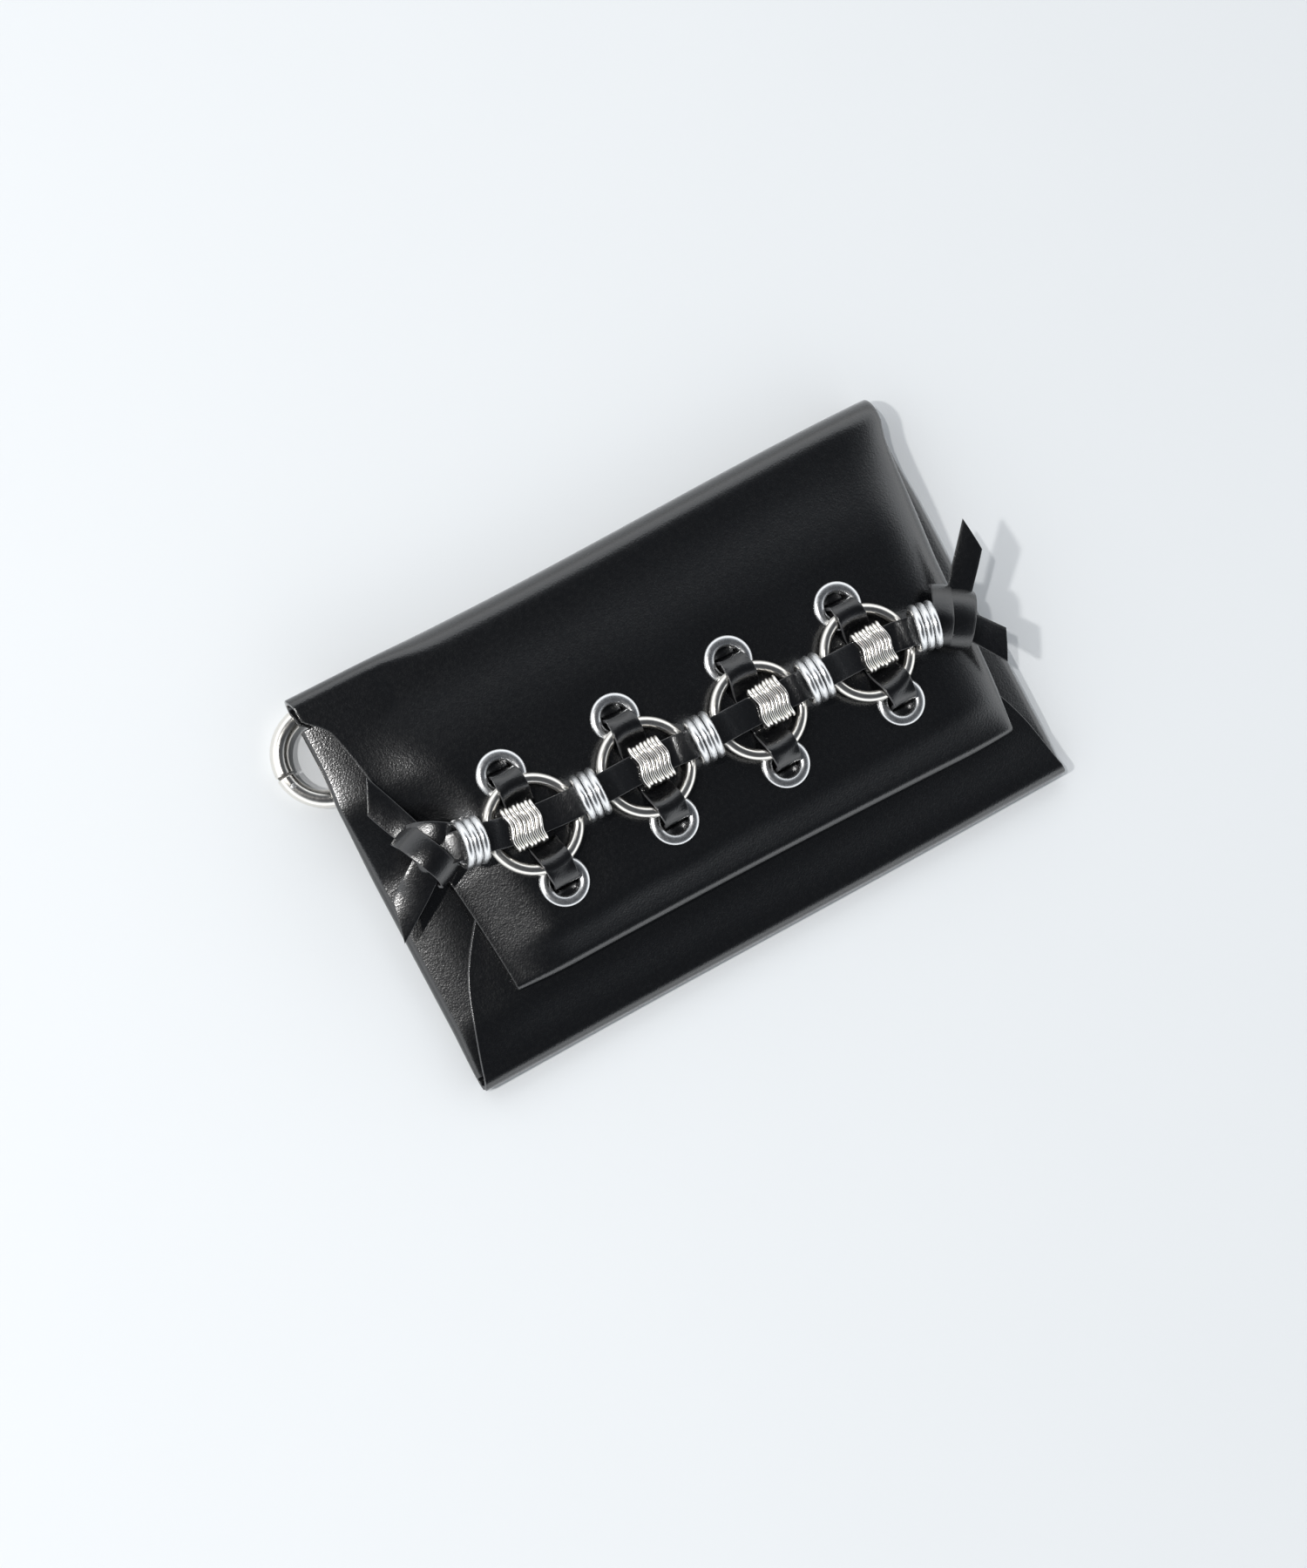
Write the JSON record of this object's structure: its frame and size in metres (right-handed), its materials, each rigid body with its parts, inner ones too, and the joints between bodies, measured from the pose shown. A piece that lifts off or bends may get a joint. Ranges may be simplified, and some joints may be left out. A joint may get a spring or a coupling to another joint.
{
  "type": "chain wallet",
  "caption": "Flat envelope wallet in black leather with a fold-over flap, a laced row of metal rings and ridged cuffs on the flap, and a spring-gate ring at one corner for a chain.",
  "frame": {"origin": "centre of the flat back face", "axes": "+X along the width towards the right-hand end as worn flap up, +Y towards the top fold, +Z out of the back face towards the flap"},
  "size_m": [0.1934, 0.1128, 0.0309],
  "materials": {
    "black_leather": "gloss, smooth fine grain",
    "lace_leather": "semi-gloss",
    "lining_leather": "matt flesh side",
    "nickel": "polished nickel plate",
    "satin_steel": "satin"
  },
  "bodies": {
    "wallet": {"back_panel": "black_leather", "left_wing": "black_leather", "right_wing": "black_leather", "front_panel": "black_leather", "card_pocket": "lining_leather", "snap_socket": "nickel", "ring_loop_tab": "black_leather", "flap_fold": "black_leather"},
    "flap": {"flap_outer": "black_leather", "flap_lining": "lining_leather", "snap_stud": "nickel", "snap_stud_washer": "satin_steel", "eyelet_upper_1": "satin_steel", "eyelet_upper_2": "satin_steel", "eyelet_upper_3": "satin_steel", "eyelet_upper_4": "satin_steel", "eyelet_lower_1": "satin_steel", "eyelet_lower_2": "satin_steel", "eyelet_lower_3": "satin_steel", "eyelet_lower_4": "satin_steel", "ring_strip_1": "lace_leather", "ring_strip_2": "lace_leather", "ring_strip_3": "lace_leather", "ring_strip_4": "lace_leather", "lace_lower": "lace_leather", "lace_upper": "lace_leather", "left_knot": "lace_leather", "right_knot": "lace_leather"},
    "o_ring_1": {"o_ring_1": "nickel"},
    "o_ring_2": {"o_ring_2": "nickel"},
    "o_ring_3": {"o_ring_3": "nickel"},
    "o_ring_4": {"o_ring_4": "nickel"},
    "cuff_1": {"cuff_1": "nickel"},
    "cuff_2": {"cuff_2": "nickel"},
    "cuff_3": {"cuff_3": "nickel"},
    "cuff_4": {"cuff_4": "nickel"},
    "jump_rings_1": {"jump_ring_1a": "satin_steel", "jump_ring_1b": "satin_steel", "jump_ring_1c": "satin_steel"},
    "jump_rings_2": {"jump_ring_2a": "satin_steel", "jump_ring_2b": "satin_steel", "jump_ring_2c": "satin_steel"},
    "jump_rings_3": {"jump_ring_3a": "satin_steel", "jump_ring_3b": "satin_steel", "jump_ring_3c": "satin_steel"},
    "jump_rings_4": {"jump_ring_4a": "satin_steel", "jump_ring_4b": "satin_steel", "jump_ring_4c": "satin_steel"},
    "jump_rings_5": {"jump_ring_5a": "satin_steel", "jump_ring_5b": "satin_steel", "jump_ring_5c": "satin_steel"},
    "clip_ring": {"ring_body": "nickel", "gate_pin": "satin_steel", "gate_spring": "satin_steel"},
    "clip_gate": {"ring_gate": "nickel"}
  },
  "joints": [
    {"name": "flap_hinge", "type": "hinge", "parent": "wallet", "child": "flap", "pos_m": [0, 0.0495, 0.0055], "axis": [-1, 0, 0], "range_deg": [0, 178], "deforming": ["flap_fold"]},
    {"name": "clip_ring_swivel", "type": "hinge", "parent": "wallet", "child": "clip_ring", "pos_m": [-0.07528, 0.0402, 0.00405], "axis": [0, 1, 0], "range_deg": [-90, 0]},
    {"name": "clip_gate_hinge", "type": "hinge", "parent": "clip_ring", "child": "clip_gate", "pos_m": [-0.09808, 0.03637, 0.00249], "axis": [0.068, 0, -0.9977], "range_deg": [0, 24], "stiffness_Nm_per_rad": 0.02, "springref_deg": -11.46},
    {"name": "o_ring_1_spin", "type": "hinge", "parent": "flap", "child": "o_ring_1", "pos_m": [-0.0504, -0.0009, 0.01955], "axis": [0, 0, 1], "continuous": true},
    {"name": "o_ring_2_spin", "type": "hinge", "parent": "flap", "child": "o_ring_2", "pos_m": [-0.0171, -0.0016, 0.01955], "axis": [0, 0, 1], "continuous": true},
    {"name": "o_ring_3_spin", "type": "hinge", "parent": "flap", "child": "o_ring_3", "pos_m": [0.0167, -0.0023, 0.01955], "axis": [0, 0, 1], "continuous": true},
    {"name": "o_ring_4_spin", "type": "hinge", "parent": "flap", "child": "o_ring_4", "pos_m": [0.0506, -0.0023, 0.01955], "axis": [0, 0, 1], "continuous": true},
    {"name": "jump_rings_1_spin", "type": "hinge", "parent": "flap", "child": "jump_rings_1", "pos_m": [-0.0676, 0.0027, 0.023], "axis": [0.9806, -0.1378, -0.1392], "continuous": true},
    {"name": "jump_rings_2_spin", "type": "hinge", "parent": "flap", "child": "jump_rings_2", "pos_m": [-0.0345, -0.0011, 0.02375], "axis": [0.9901, -0.0173, 0.1392], "continuous": true},
    {"name": "jump_rings_3_spin", "type": "hinge", "parent": "flap", "child": "jump_rings_3", "pos_m": [-0.001, -0.0019, 0.02375], "axis": [0.9901, -0.0173, 0.1392], "continuous": true},
    {"name": "jump_rings_4_spin", "type": "hinge", "parent": "flap", "child": "jump_rings_4", "pos_m": [0.0329, -0.0018, 0.02375], "axis": [0.9903, 0, 0.1392], "continuous": true},
    {"name": "jump_rings_5_spin", "type": "hinge", "parent": "flap", "child": "jump_rings_5", "pos_m": [0.0666, -0.0033, 0.02395], "axis": [0.9661, -0.2054, 0.1564], "continuous": true},
    {"name": "cuff_1_slide", "type": "slide", "parent": "flap", "child": "cuff_1", "axis": [0.9962, -0.0872, 0], "range_m": [-0.0008, 0.0008]},
    {"name": "cuff_2_slide", "type": "slide", "parent": "flap", "child": "cuff_2", "axis": [0.9997, -0.0262, 0], "range_m": [-0.0008, 0.0008]},
    {"name": "cuff_3_slide", "type": "slide", "parent": "flap", "child": "cuff_3", "axis": [1, 0, 0], "range_m": [-0.0008, 0.0008]},
    {"name": "cuff_4_slide", "type": "slide", "parent": "flap", "child": "cuff_4", "axis": [1, -0.0087, 0], "range_m": [-0.0008, 0.0008]}
  ]
}
